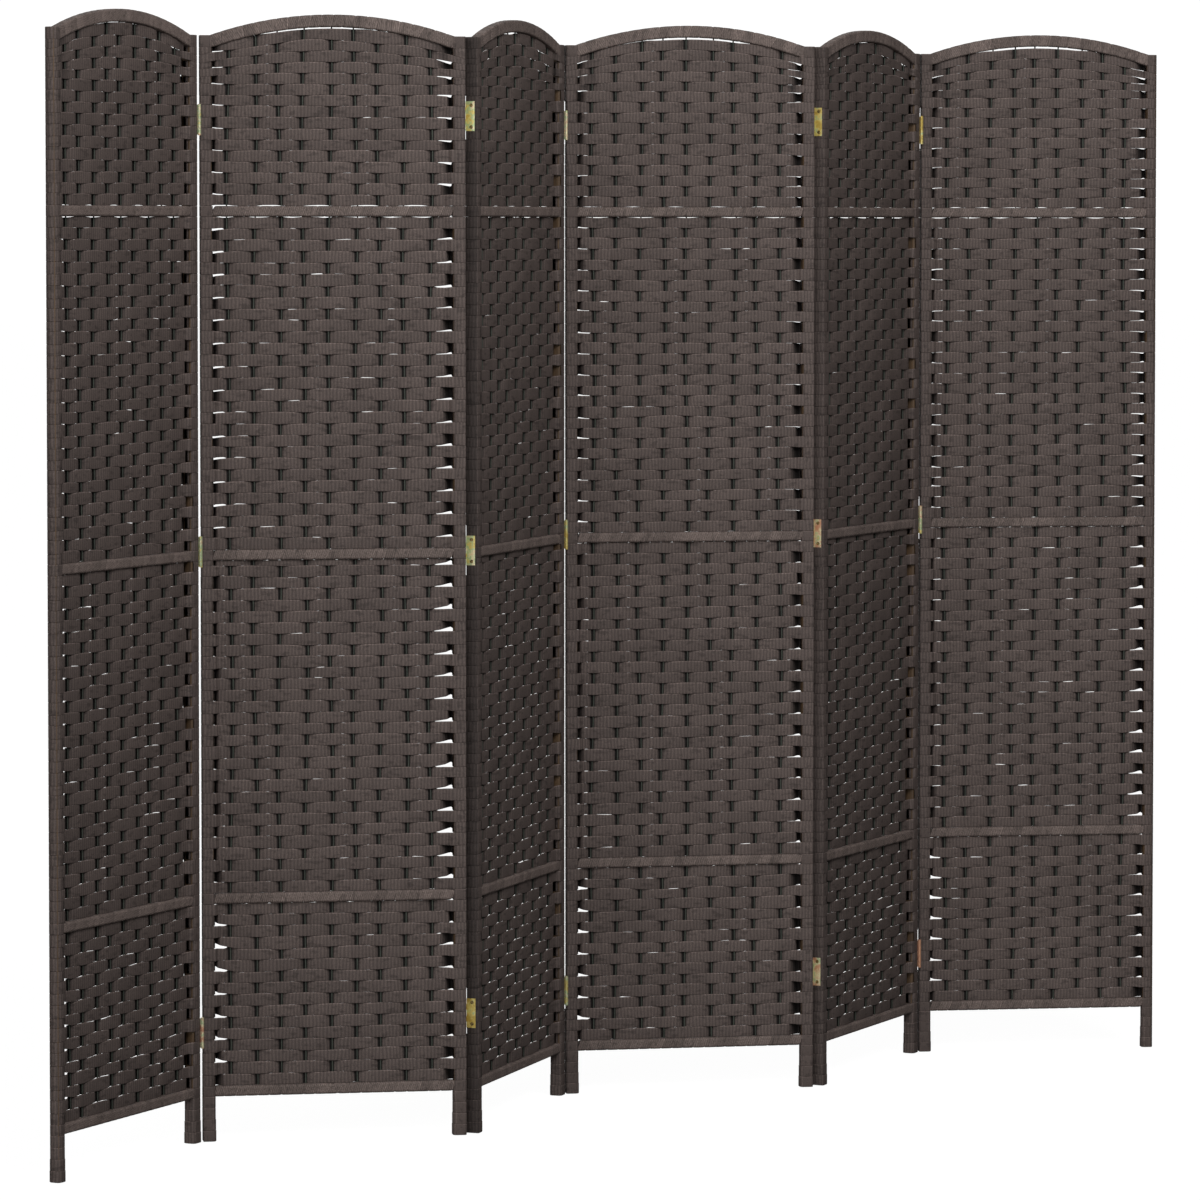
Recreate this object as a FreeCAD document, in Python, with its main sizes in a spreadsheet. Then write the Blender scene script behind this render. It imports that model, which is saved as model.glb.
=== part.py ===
"""Six-panel woven folding screen.

Each panel is a wooden frame (two stiles, an arched top rail and four cross
rails) with nine thin stakes, and flat fibre bands woven across the stakes and
round the stiles. Five sets of three butt hinges join the panels.

Millimetres. X runs along the screen, Y from its front to its back, Z up. The
origin is on the floor, under the middle of the folded-out screen.
A panel's own frame has its origin at the left front corner of the left stile.
"""
import FreeCAD, Part
import functools
import math
import os
import Sketcher

# Driving sizes: name, value, what it is
SIZES = [
    ("panel_width", 400, "one panel over both stiles"),
    ("stile_size", 19, "side of a bound stile, seen from the front and from the side"),
    ("stile_height", 1667, "floor to the shoulder of a panel"),
    ("binding", 1.5, "fibre turned round the stiles"),
    ("corner_radius", 5, "rounding of a bound stile"),
    ("rail_height", 16, "cross rail, top to bottom"),
    ("rail_depth", 16, "rails, front to back"),
    ("rail_round", 4, "rounding along the rails"),
    ("foot_rail_level", 76, "middle of the lowest rail above the floor"),
    ("lower_rail_level", 368, "middle of the next rail"),
    ("middle_rail_level", 887, "middle of the next rail"),
    ("upper_rail_level", 1404, "middle of the highest cross rail"),
    ("arch_spring", 1650, "underside of the arched rail at the stiles"),
    ("arch_crown", 1680, "underside of the arched rail at the middle"),
    ("crest_height", 1700, "top of the arched rail at the middle"),
    ("arch_round", 3, "rounding along the arched rail"),
    ("stake_radius", 1.6, "thin upright stake"),
    ("stake_spacing", 38, "stake to stake"),
    ("stake_shift", 4, "middle stake left of the panel's middle"),
    ("stake_seat", 8, "length of stake held in the lowest and in the arched rail"),
    ("band_thickness", 1.2, "woven fibre band"),
    ("band_slack", 0.3, "space between a band and the stake it passes"),
    ("band_inset", 0.8, "a band's end behind the face of the stile"),
    ("row_gap", 0.6, "space between one row of weave and the next"),
    ("arch_gap", 2, "space between the top row of weave and the arched rail"),
    ("fold_gap", 2.6, "space between the stiles of two panels opened flat"),
    ("hinge_length", 45, "hinge, top to bottom"),
    ("leaf_width", 14.6, "hinge leaf on the side of a stile"),
    ("leaf_thickness", 1.1, "hinge plate"),
    ("knuckle_radius", 2.5, "rolled hinge barrel"),
    ("knuckle_gap", 0.3, "space between the knuckles of two leaves"),
    ("pin_radius", 1.2, "hinge pin"),
    ("pin_play", 0.05, "play all round a hinge pin"),
    ("pin_head", 0.8, "hinge pin beyond the barrel, at each end"),
    ("screw_radius", 1.5, "screw shank"),
    ("screw_head_radius", 2.7, "countersunk screw head"),
    ("screw_length", 12, "screw, tip to head"),
    ("screw_spread", 33, "between the two screws of a leaf"),
    ("screw_inset", 9, "screws from the face that the barrel is on"),
    ("front_hinge_low", 166, "middle of the lowest hinge with its barrel in front"),
    ("front_hinge_middle", 893, "middle of the next"),
    ("front_hinge_high", 1541, "middle of the highest"),
    ("back_hinge_low", 184, "middle of the lowest hinge with its barrel behind"),
    ("back_hinge_middle", 890, "middle of the next"),
    ("back_hinge_high", 1548, "middle of the highest"),
]

# How the screen stands: degrees, and how many of each thing
FIRST_HEADING = 25.8
FOLDS = [54.3, 62.0, 60.9, 54.1, 56.6]
PANELS = len(FOLDS) + 1
STAKES = 9
CURVED_ROWS = 5
KNUCKLES = 5

# Rows of weave in the four bays of each panel, the lowest first, and whether
# the lowest row of a bay passes the stiles in front (0) or behind (1)
BAY_ROWS = [
    (16, 30, 30, 16),
    (16, 30, 29, 16),
    (16, 30, 30, 16),
    (16, 29, 30, 16),
    (16, 30, 30, 17),
    (16, 29, 29, 16),
]
FIRST_SIDES = [
    (1, 0, 1, 0),
    (1, 0, 0, 0),
    (1, 0, 0, 1),
    (1, 0, 0, 1),
    (1, 0, 0, 1),
    (1, 0, 0, 0),
]

doc = FreeCAD.newDocument("folding_screen")
sheet = doc.addObject("Spreadsheet::Sheet", "Sizes")
for line, (name, value, meaning) in enumerate(SIZES, start=1):
    sheet.set(f"A{line}", name)
    sheet.set(f"B{line}", str(value))
    sheet.set(f"C{line}", meaning)
    sheet.setAlias(f"B{line}", name)
doc.recompute()


def size(name):
    """One driving size, read from the sheet."""
    return float(sheet.get(name))


nodes = {}


def add_node(name, thing, placement):
    """Give a sub-part its name and its place in the screen."""
    thing.Label = name
    thing.Placement = placement
    nodes[name] = thing


def bind(thing, **formulas):
    """Bind properties of an object to formulas on the sheet."""
    for path, formula in formulas.items():
        thing.setExpression(path.replace("__", "."), formula)


# Places worked out from the sizes
core_size = size("stile_size") - 2 * size("binding")
middle_x = size("panel_width") / 2
middle_y = size("stile_size") / 2
left_edge = size("stile_size")
right_edge = size("panel_width") - size("stile_size")
stake_places = [
    middle_x - size("stake_shift") + (k - (STAKES - 1) / 2) * size("stake_spacing")
    for k in range(STAKES)
]


def arch_radius():
    """Radius of the underside of the arched rail, between the stiles' cores."""
    half = middle_x - left_edge + size("binding")
    rise = size("arch_crown") - size("arch_spring")
    return (half ** 2 + rise ** 2) / (2 * rise)


def arch_underside(x):
    """Height of the arched rail's underside at x."""
    radius = arch_radius()
    return size("arch_crown") - radius + math.sqrt(radius ** 2 - (x - middle_x) ** 2)


# Panel frames. A barrel in front folds the two front faces together, one behind
# folds the two backs together, and they take turns along the screen.
def barrel_in_front(joint):
    return joint % 2 == 0


def axis_depth(joint):
    """Depth of a hinge axis in the frames of the two panels that it joins."""
    if barrel_in_front(joint):
        return -size("knuckle_radius")
    return size("stile_size") + size("knuckle_radius")


def place_panels():
    """Placements of the panels and places of the five hinge axes."""
    heading = FIRST_HEADING
    corner = FreeCAD.Vector()
    frames = []
    axes = []
    for panel in range(PANELS):
        turn = FreeCAD.Rotation(FreeCAD.Vector(0, 0, 1), heading)
        frames.append(FreeCAD.Placement(corner, turn))
        if panel == PANELS - 1:
            break
        reach = size("panel_width") + size("fold_gap") / 2
        axis = corner + turn.multVec(FreeCAD.Vector(reach, axis_depth(panel), 0))
        axes.append(axis)
        heading += -FOLDS[panel] if barrel_in_front(panel) else FOLDS[panel]
        turn = FreeCAD.Rotation(FreeCAD.Vector(0, 0, 1), heading)
        corner = axis - turn.multVec(FreeCAD.Vector(-size("fold_gap") / 2, axis_depth(panel), 0))
    return frames, axes


def centre_on_footprint(frames, axes):
    """Move everything so that the origin is under the middle of the screen."""
    radius = size("corner_radius")
    near = radius
    far_x = size("panel_width") - radius
    far_y = size("stile_size") - radius
    discs = [
        (frame.multVec(FreeCAD.Vector(x, y, 0)), radius)
        for frame in frames
        for x in (near, far_x)
        for y in (near, far_y)
    ]
    discs += [(axis, size("knuckle_radius")) for axis in axes]
    low_x = min(centre.x - reach for centre, reach in discs)
    high_x = max(centre.x + reach for centre, reach in discs)
    low_y = min(centre.y - reach for centre, reach in discs)
    high_y = max(centre.y + reach for centre, reach in discs)
    shift = FreeCAD.Vector(-(low_x + high_x) / 2, -(low_y + high_y) / 2, 0)
    for frame in frames:
        frame.Base = frame.Base + shift
    return [axis + shift for axis in axes]


panel_frames, hinge_axes = place_panels()
hinge_axes = centre_on_footprint(panel_frames, hinge_axes)


# Sketch helpers
def base_plane(body, role):
    for feature in body.Origin.OriginFeatures:
        if feature.Role == role:
            return feature


def new_sketch(body, name, role):
    sketch = body.newObject("Sketcher::SketchObject", name)
    sketch.AttachmentSupport = (base_plane(body, role), [""])
    sketch.MapMode = "FlatFace"
    return sketch


def add_rectangle(sketch, left, low, wide, high):
    """A rectangle whose four sizes are formulas on the sheet."""
    corners = [FreeCAD.Vector(x, y, 0) for x, y in ((1, 1), (2, 1), (2, 2), (1, 2))]
    first = sketch.GeometryCount
    for k in range(4):
        sketch.addGeometry(Part.LineSegment(corners[k], corners[(k + 1) % 4]))
    for k in range(4):
        sketch.addConstraint(Sketcher.Constraint("Coincident", first + k, 2, first + (k + 1) % 4, 1))
    for k, way in enumerate(("Horizontal", "Vertical", "Horizontal", "Vertical")):
        sketch.addConstraint(Sketcher.Constraint(way, first + k))
    measures = [
        (left, Sketcher.Constraint("DistanceX", -1, 1, first, 1, 1)),
        (low, Sketcher.Constraint("DistanceY", -1, 1, first, 1, 1)),
        (wide, Sketcher.Constraint("DistanceX", first, 1, first, 2, 1)),
        (high, Sketcher.Constraint("DistanceY", first + 1, 1, first + 1, 2, 1)),
    ]
    for formula, constraint in measures:
        number = sketch.addConstraint(constraint)
        sketch.setExpression(f"Constraints[{number}]", formula)


def long_edges(shape, way):
    """Names of the edges that run the given way or are curved, for a fillet."""
    names = []
    for number, edge in enumerate(shape.Edges, start=1):
        run = edge.valueAt(edge.LastParameter) - edge.valueAt(edge.FirstParameter)
        if run.Length and abs(run.normalize().dot(way)) > math.cos(math.radians(30)):
            names.append(f"Edge{number}")
    return names


def round_edges(body, feature, way, radius):
    doc.recompute()
    fillet = body.newObject("PartDesign::Fillet", body.Name + "_round")
    fillet.Base = (feature, long_edges(feature.Shape, way))
    fillet.setExpression("Radius", radius)
    body.Tip = fillet
    return fillet


# Stiles: the wooden uprights, whose lower ends are the feet
def make_stile(name, left):
    body = doc.addObject("PartDesign::Body", name + "_bar")
    sketch = new_sketch(body, name + "_section", "XY_Plane")
    core = "Sizes.stile_size - 2 * Sizes.binding"
    add_rectangle(sketch, left, "Sizes.binding", core, core)
    pad = body.newObject("PartDesign::Pad", name + "_pad")
    pad.Profile = sketch
    bind(pad, Length="Sizes.stile_height")
    round_edges(body, pad, FreeCAD.Vector(0, 0, 1), "Sizes.corner_radius - Sizes.binding")
    return body


# Cross rails: four level bars from stile to stile
def make_cross_rails(name):
    body = doc.addObject("PartDesign::Body", name + "_bars")
    sketch = new_sketch(body, name + "_sections", "YZ_Plane")
    bind(sketch, AttachmentOffset__Base__z="Sizes.stile_size - Sizes.binding")
    for level in ("foot", "lower", "middle", "upper"):
        add_rectangle(
            sketch,
            "(Sizes.stile_size - Sizes.rail_depth) / 2",
            f"Sizes.{level}_rail_level - Sizes.rail_height / 2",
            "Sizes.rail_depth",
            "Sizes.rail_height",
        )
    pad = body.newObject("PartDesign::Pad", name + "_pad")
    pad.Profile = sketch
    bind(pad, Length="Sizes.panel_width - 2 * (Sizes.stile_size - Sizes.binding)")
    round_edges(body, pad, FreeCAD.Vector(1, 0, 0), "Sizes.rail_round")
    return body


# Arched top rail: a bow of even depth between the tops of the stiles
def make_top_rail(name):
    body = doc.addObject("PartDesign::Body", name + "_bow")
    sketch = new_sketch(body, name + "_outline", "XZ_Plane")
    left = left_edge - size("binding")
    right = right_edge + size("binding")
    spring = size("arch_spring")
    shoulder = size("stile_height")
    under = Part.Arc(
        FreeCAD.Vector(left, spring, 0),
        FreeCAD.Vector(middle_x, size("arch_crown"), 0),
        FreeCAD.Vector(right, spring, 0),
    )
    over = Part.Arc(
        FreeCAD.Vector(left, shoulder, 0),
        FreeCAD.Vector(middle_x, size("crest_height"), 0),
        FreeCAD.Vector(right, shoulder, 0),
    )
    left_end = Part.LineSegment(FreeCAD.Vector(left, spring, 0), FreeCAD.Vector(left, shoulder, 0))
    right_end = Part.LineSegment(FreeCAD.Vector(right, spring, 0), FreeCAD.Vector(right, shoulder, 0))
    for piece in (under, over, left_end, right_end):
        sketch.addGeometry(piece)
    pad = body.newObject("PartDesign::Pad", name + "_pad")
    pad.Profile = sketch
    pad.Reversed = True
    bind(sketch, AttachmentOffset__Base__z="-(Sizes.stile_size - Sizes.rail_depth) / 2")
    bind(pad, Length="Sizes.rail_depth")
    round_edges(body, pad, FreeCAD.Vector(1, 0, 0), "Sizes.arch_round")
    return body


# Stakes: nine thin rods from the lowest rail to the arched one
def make_stakes(name):
    rods = []
    for number, x in enumerate(stake_places, start=1):
        rod = doc.addObject("Part::Cylinder", f"{name}_{number}")
        foot = size("foot_rail_level") + size("rail_height") / 2 - size("stake_seat")
        rod.Placement.Base = FreeCAD.Vector(x, middle_y, foot)
        rod.Height = arch_underside(x) + size("stake_seat") - foot
        bind(rod, Radius="Sizes.stake_radius")
        rods.append(rod)
    group = doc.addObject("Part::Compound", name + "_group")
    group.Links = rods
    return group


def drilled(name, solid, tool):
    """A sub-part with room cut in it for the pieces that pass into it."""
    cut = doc.addObject("Part::Cut", name + "_drilled")
    cut.Base = solid
    cut.Tool = tool
    cut.Refine = False
    return cut


# Hinges, in the frame of the panel on their left, its side face at x
def hinge_levels(joint):
    side = "front" if barrel_in_front(joint) else "back"
    return [size(f"{side}_hinge_{place}") for place in ("low", "middle", "high")]


def barrel_slices(first):
    """Low and high ends of every second knuckle, from the hinge's middle."""
    step = size("hinge_length") / KNUCKLES
    slices = []
    for k in range(first, KNUCKLES, 2):
        low = -size("hinge_length") / 2 + k * step
        slices.append((low + size("knuckle_gap") / 2, low + step - size("knuckle_gap") / 2))
    return slices


def leaf_shape(joint, face_x, outward, first):
    """One leaf of each of a joint's three hinges, on the side face of a stile.

    outward is 1 where the leaf lies on the right side of its stile and -1 on
    the left, and first says whether it has the outer or the inner knuckles.
    """
    in_front = barrel_in_front(joint)
    inward = 1 if in_front else -1
    face_y = 0 if in_front else size("stile_size")
    axis = FreeCAD.Vector(face_x + outward * size("fold_gap") / 2, axis_depth(joint), 0)
    left = min(face_x, face_x + outward * size("leaf_thickness"))
    half = size("hinge_length") / 2
    leaves = []
    for level in hinge_levels(joint):
        start = face_y + inward * size("knuckle_gap")
        low_y = min(start, face_y + inward * size("leaf_width"))
        plate = Part.makeBox(
            size("leaf_thickness"),
            size("leaf_width") - size("knuckle_gap"),
            size("hinge_length"),
            FreeCAD.Vector(left, low_y, level - half),
        )
        pieces = []
        for low, high in barrel_slices(first):
            foot = FreeCAD.Vector(axis.x, axis.y, level + low)
            pieces.append(Part.makeCylinder(size("knuckle_radius"), high - low, foot))
            neck_y = min(axis.y, start)
            neck = Part.makeBox(
                size("leaf_thickness"),
                abs(start - axis.y),
                high - low,
                FreeCAD.Vector(left, neck_y, level + low),
            )
            pieces.append(neck)
        foot = FreeCAD.Vector(axis.x, axis.y, level - half)
        bore = Part.makeCylinder(size("pin_radius") + size("pin_play"), size("hinge_length"), foot)
        leaves.append(plate.fuse(pieces).cut(bore).removeSplitter().Solids[0])
    return Part.makeCompound(leaves)


def pin_shapes(joint):
    """The three pins of a joint, in the frame of the panel on its left."""
    reach = size("panel_width") + size("fold_gap") / 2
    pins = []
    for level in hinge_levels(joint):
        foot = level - size("hinge_length") / 2 - size("pin_head")
        length = size("hinge_length") + 2 * size("pin_head")
        pin = Part.makeCylinder(
            size("pin_radius"), length, FreeCAD.Vector(reach, axis_depth(joint), foot)
        )
        caps = [
            Part.makeCylinder(
                size("knuckle_radius") - size("pin_play"),
                size("pin_head"),
                FreeCAD.Vector(reach, axis_depth(joint), height),
            )
            for height in (foot, foot + length - size("pin_head"))
        ]
        pins.append(pin.fuse(caps).removeSplitter().Solids[0])
    return Part.makeCompound(pins)


def screw_shapes(joint, face_x, outward):
    """Six countersunk screws through the leaves of a joint into one stile."""
    inward = 1 if barrel_in_front(joint) else -1
    face_y = 0 if barrel_in_front(joint) else size("stile_size")
    y = face_y + inward * size("screw_inset")
    head_x = face_x + outward * size("leaf_thickness")
    into_wood = FreeCAD.Vector(-outward, 0, 0)
    head_depth = size("screw_head_radius") - size("screw_radius")
    screws = []
    for level in hinge_levels(joint):
        for side in (-1, 1):
            top = FreeCAD.Vector(head_x, y, level + side * size("screw_spread") / 2)
            shank = Part.makeCylinder(size("screw_radius"), size("screw_length"), top, into_wood)
            head = Part.makeCone(
                size("screw_head_radius"), size("screw_radius"), head_depth, top, into_wood
            )
            screws.append(shank.fuse(head).removeSplitter().Solids[0])
    return screws


# Weave: flat bands over and under the stakes, and turned round the stiles
def stile_block(left):
    """Outline of a bound stile as a tall solid."""
    block = Part.makeBox(
        size("stile_size"), size("stile_size"), size("stile_height"), FreeCAD.Vector(left, 0, 0)
    )
    uprights = [edge for edge in block.Edges if abs(edge.tangentAt(0).z) > 0.5]
    return block.makeFillet(size("corner_radius"), uprights)


def band_outline(parity):
    """Plan of one band: in front of every second upright and behind the others.

    Parity 0 passes the stiles in front, parity 1 behind.
    """
    swing = size("stake_radius") + size("band_slack") + size("band_thickness") / 2
    end_swing = middle_y - size("band_inset") - size("band_thickness") / 2
    side = -1 if parity == 0 else 1
    half = size("band_thickness") / 2
    points = [(left_edge - size("corner_radius") / 2, side * end_swing)]
    points.append((left_edge, side * end_swing))
    for k, x in enumerate(stake_places, start=1):
        points.append((x, side * swing * (-1) ** k))
    points.append((right_edge, side * end_swing))
    points.append((right_edge + size("corner_radius") / 2, side * end_swing))
    curves = []
    for offset in (-half, half):
        curve = Part.BSplineCurve()
        curve.interpolate([FreeCAD.Vector(x, middle_y + y + offset, 0) for x, y in points])
        curves.append(curve.toShape())
    near, far = curves
    left_end = Part.makeLine(near.valueAt(near.FirstParameter), far.valueAt(far.FirstParameter))
    right_end = Part.makeLine(near.valueAt(near.LastParameter), far.valueAt(far.LastParameter))
    outline = Part.Face(Part.Wire([near, right_end, far, left_end]))
    for left in (0, right_edge):
        section = Part.Face(Part.Wire(Part.__sortEdges__(
            [edge for edge in stile_block(left).Edges if edge.BoundBox.ZMax < size("binding")]
        )))
        outline = outline.cut(section)
    return outline.Faces[0]


def bow(ends, middle):
    """A line from stile to stile, level or risen at its middle."""
    left = FreeCAD.Vector(left_edge - size("corner_radius"), 0, ends)
    right = FreeCAD.Vector(right_edge + size("corner_radius"), 0, ends)
    if abs(middle - ends) < size("row_gap"):
        return Part.makeLine(left, right)
    return Part.Arc(left, FreeCAD.Vector(middle_x, 0, middle), right).toShape()


def curved_slab(low_ends, low_middle, high_ends, high_middle):
    """The space between two bows, as deep as a panel."""
    low = bow(low_ends, low_middle)
    high = bow(high_ends, high_middle)
    sides = [Part.makeLine(low.Vertexes[k].Point, high.Vertexes[k].Point) for k in (0, 1)]
    face = Part.Face(Part.Wire(Part.__sortEdges__([low, sides[0], high, sides[1]])))
    return face.extrude(FreeCAD.Vector(0, size("stile_size"), 0))


def level_row(side, low, high):
    """One straight band between two heights."""
    band = band_outlines[side].extrude(FreeCAD.Vector(0, 0, high - low))
    band.translate(FreeCAD.Vector(0, 0, low))
    return band


@functools.cache
def arched_rows(first_side, floor, roof):
    """The top rows, more and more bowed, up to the arched rail."""
    corner_roof = arch_underside(left_edge - size("corner_radius")) - size("arch_gap")
    half_gap = size("row_gap") / 2
    rows = []
    for k in range(CURVED_ROWS):
        low, high = k / CURVED_ROWS, (k + 1) / CURVED_ROWS
        slab = curved_slab(
            floor + low * (corner_roof - floor) + half_gap,
            floor + low * (roof - floor) + half_gap,
            floor + high * (corner_roof - floor) - half_gap,
            floor + high * (roof - floor) - half_gap,
        )
        side = (first_side + k) % 2
        column = band_outlines[side].extrude(FreeCAD.Vector(0, 0, size("crest_height")))
        rows.append(column.common(slab).Solids[0])
    return rows


def weave_shapes(counts, first_sides):
    """All the bands of one panel, from the lowest row to the arch."""
    half_gap = size("row_gap") / 2
    half_rail = size("rail_height") / 2
    levels = [size(f"{level}_rail_level") for level in ("foot", "lower", "middle", "upper")]
    floors = [level + half_rail for level in levels]
    roofs = [level - half_rail for level in levels[1:]] + [size("arch_crown") - size("arch_gap")]
    bands = []
    for floor, roof, count, first_side in zip(floors, roofs, counts, first_sides):
        pitch = (roof - floor) / count
        is_top_bay = roof == roofs[-1]
        straight = count - CURVED_ROWS if is_top_bay else count
        for k in range(straight):
            low = floor + k * pitch
            bands.append(level_row((first_side + k) % 2, low + half_gap, low + pitch - half_gap))
        if is_top_bay:
            bands += arched_rows((first_side + straight) % 2, floor + straight * pitch, roof)
    return bands


# Build the six panels
def make_panel(number, frame):
    """The frame, stakes and screws of one panel, each in its place."""
    panel = f"panel_{number}"
    left_screws = []
    right_screws = []
    if number > 1:
        left_screws = screw_shapes(number - 2, 0, -1)
    if number < PANELS:
        right_screws = screw_shapes(number - 1, size("panel_width"), 1)
    screws = doc.addObject("Part::Feature", panel + "_screws")
    screws.Shape = Part.makeCompound(left_screws + right_screws)
    stakes = make_stakes(panel + "_stake")
    rails = drilled(panel + "_cross_rails", make_cross_rails(panel + "_cross_rail"), stakes)
    arch = drilled(panel + "_top_rail", make_top_rail(panel + "_top_rail"), stakes)
    left_stile = make_stile(panel + "_left_bar", "Sizes.binding")
    right_stile = make_stile(
        panel + "_right_bar", "Sizes.panel_width - Sizes.stile_size + Sizes.binding"
    )
    if left_screws:
        left_stile = drilled(panel + "_left_stile", left_stile, screws)
    if right_screws:
        right_stile = drilled(panel + "_right_stile", right_stile, screws)
    add_node(panel + "_left_stile", left_stile, frame)
    add_node(panel + "_right_stile", right_stile, frame)
    add_node(panel + "_top_rail", arch, frame)
    add_node(panel + "_cross_rails", rails, frame)
    add_node(panel + "_stakes", stakes, frame)
    add_node(panel + "_hinge_screws", screws, frame)


def in_panel_frame(name):
    """A sub-part's shape as it lies in its own panel's frame."""
    shape = nodes[name].Shape.copy()
    shape.Placement = FreeCAD.Placement()
    return shape


def stile_bindings():
    """The fibre round the two stiles, with room for the ends of the rails."""
    rails = [in_panel_frame("panel_1_cross_rails"), in_panel_frame("panel_1_top_rail")]
    bindings = []
    for left in (0, right_edge):
        core = Part.makeBox(
            core_size,
            core_size,
            size("stile_height"),
            FreeCAD.Vector(left + size("binding"), size("binding"), 0),
        )
        uprights = [edge for edge in core.Edges if abs(edge.tangentAt(0).z) > 0.5]
        core = core.makeFillet(size("corner_radius") - size("binding"), uprights)
        bindings.append(stile_block(left).cut(core).cut(rails).Solids[0])
    return bindings


for number, frame in enumerate(panel_frames, start=1):
    make_panel(number, frame)
doc.recompute()

band_outlines = [band_outline(0), band_outline(1)]
plain_bindings = stile_bindings()
for number, frame in enumerate(panel_frames, start=1):
    screws = in_panel_frame(f"panel_{number}_hinge_screws")
    bindings = [binding.cut(screws).Solids[0] for binding in plain_bindings]
    bands = weave_shapes(BAY_ROWS[number - 1], FIRST_SIDES[number - 1])
    weave = doc.addObject("Part::Feature", f"panel_{number}_bands")
    weave.Shape = Part.makeCompound(bands + bindings)
    add_node(f"panel_{number}_weave", weave, frame)

# Build the five sets of hinges
for joint in range(PANELS - 1):
    hinge = f"hinge_{joint + 1}_{joint + 2}"
    left_frame = panel_frames[joint]
    right_frame = panel_frames[joint + 1]
    left_screws = Part.makeCompound(screw_shapes(joint, size("panel_width"), 1))
    right_screws = Part.makeCompound(screw_shapes(joint, 0, -1))
    left_leaf = doc.addObject("Part::Feature", hinge + "_left")
    left_leaf.Shape = leaf_shape(joint, size("panel_width"), 1, 0).cut(left_screws)
    right_leaf = doc.addObject("Part::Feature", hinge + "_right")
    right_leaf.Shape = leaf_shape(joint, 0, -1, 1).cut(right_screws)
    pins = doc.addObject("Part::Feature", hinge + "_pin_set")
    pins.Shape = pin_shapes(joint)
    add_node(hinge + "_left_leaves", left_leaf, left_frame)
    add_node(hinge + "_right_leaves", right_leaf, right_frame)
    add_node(hinge + "_pins", pins, left_frame)

doc.recompute()

# Check everything, then write one file for each sub-part
for thing in doc.Objects:
    if "Invalid" in thing.State or "Error" in thing.State:
        raise RuntimeError(f"{thing.Name} failed: {thing.State}")
for name, thing in nodes.items():
    if thing.Shape.isNull() or not thing.Shape.isValid():
        raise RuntimeError(f"{name} has no valid shape")

os.makedirs("parts", exist_ok=True)
for name, thing in nodes.items():
    thing.Shape.exportStep(f"parts/{name}.step")

for joint, axis in enumerate(hinge_axes, start=1):
    print(f"hinge axis {joint}: {axis.x:.4f} {axis.y:.4f}")
for number, frame in enumerate(panel_frames, start=1):
    heading = math.degrees(frame.Rotation.Angle * frame.Rotation.Axis.z)
    print(f"panel {number}: {frame.Base.x:.4f} {frame.Base.y:.4f} {heading:.3f}")
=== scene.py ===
import math

import bpy
import numpy as np
from mathutils import Matrix, Vector


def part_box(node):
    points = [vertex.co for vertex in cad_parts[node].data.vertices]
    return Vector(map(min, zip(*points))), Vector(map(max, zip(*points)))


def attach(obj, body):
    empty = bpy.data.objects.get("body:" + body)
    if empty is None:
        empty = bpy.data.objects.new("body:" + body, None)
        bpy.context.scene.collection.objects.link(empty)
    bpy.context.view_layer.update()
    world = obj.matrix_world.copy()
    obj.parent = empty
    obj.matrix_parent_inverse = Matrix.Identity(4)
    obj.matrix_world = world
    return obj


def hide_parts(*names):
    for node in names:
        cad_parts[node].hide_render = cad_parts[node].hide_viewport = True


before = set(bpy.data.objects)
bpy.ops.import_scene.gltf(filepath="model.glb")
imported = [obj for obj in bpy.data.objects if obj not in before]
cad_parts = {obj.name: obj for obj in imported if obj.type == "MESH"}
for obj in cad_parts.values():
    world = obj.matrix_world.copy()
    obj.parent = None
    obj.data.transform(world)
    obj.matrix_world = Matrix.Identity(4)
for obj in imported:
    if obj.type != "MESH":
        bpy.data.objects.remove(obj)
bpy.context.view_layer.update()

# Frame of each panel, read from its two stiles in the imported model: x runs along
# the panel from its left outer edge, y from front to back and z up, all in
# millimetres until the last step, which turns them into metres.
PANELS = 6
WIDTH = 400
DEPTH = 19
MIDDLE = DEPTH / 2
METRES = 0.001
STILE_TOP = 1667

# Rails: levels of the cross rails and half their height, the arch's underside at
# the stiles and in the middle, its highest point, and how far in the rails end.
RAIL_LEVELS = (76, 368, 887, 1404)
RAIL_HALF = 8
ARCH_FOOT = 1650
ARCH_CROWN = 1680
CREST = 1700
RAIL_INSET = 17.5


def panel_place(number):
    """Matrix from a panel's own millimetres to the row frame's metres."""
    corners = [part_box(f"panel_{number}_{side}_stile") for side in ("left", "right")]
    left, right = [(Vector(low) + Vector(high)) / 2 for low, high in corners]
    run = right - left
    turn = Matrix.Rotation(math.atan2(run.y, run.x), 4, "Z")
    foot = Vector((left.x, left.y, corners[0][0][2]))
    inset = Matrix.Translation((-MIDDLE, -MIDDLE, 0))
    return Matrix.Translation(foot) @ turn @ Matrix.Scale(METRES, 4) @ inset


places = {number: panel_place(number) for number in range(1, PANELS + 1)}


# Mesh making. Every woven or wound piece is a set of closed sections carried
# along a path, as an array of sweeps x stations x section points x 3.
def sweep_faces(count, stations, points, ring):
    """Quads of a set of sweeps, and their end faces where they are open."""
    i = np.arange(stations if ring else stations - 1)[:, None]
    j = np.arange(points)[None, :]
    ahead = (i + 1) % stations
    around = (j + 1) % points
    quads = np.stack(
        [i * points + j, i * points + around, ahead * points + around, ahead * points + j], -1
    ).reshape(-1, 4)
    first = (np.arange(count) * stations * points)[:, None, None]
    quads = (quads[None] + first).reshape(-1, 4)
    if ring:
        return quads, np.zeros((0, points), int)
    ends = np.stack([np.arange(points)[::-1], (stations - 1) * points + np.arange(points)])
    return quads, (ends[None] + first).reshape(-1, points)


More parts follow.
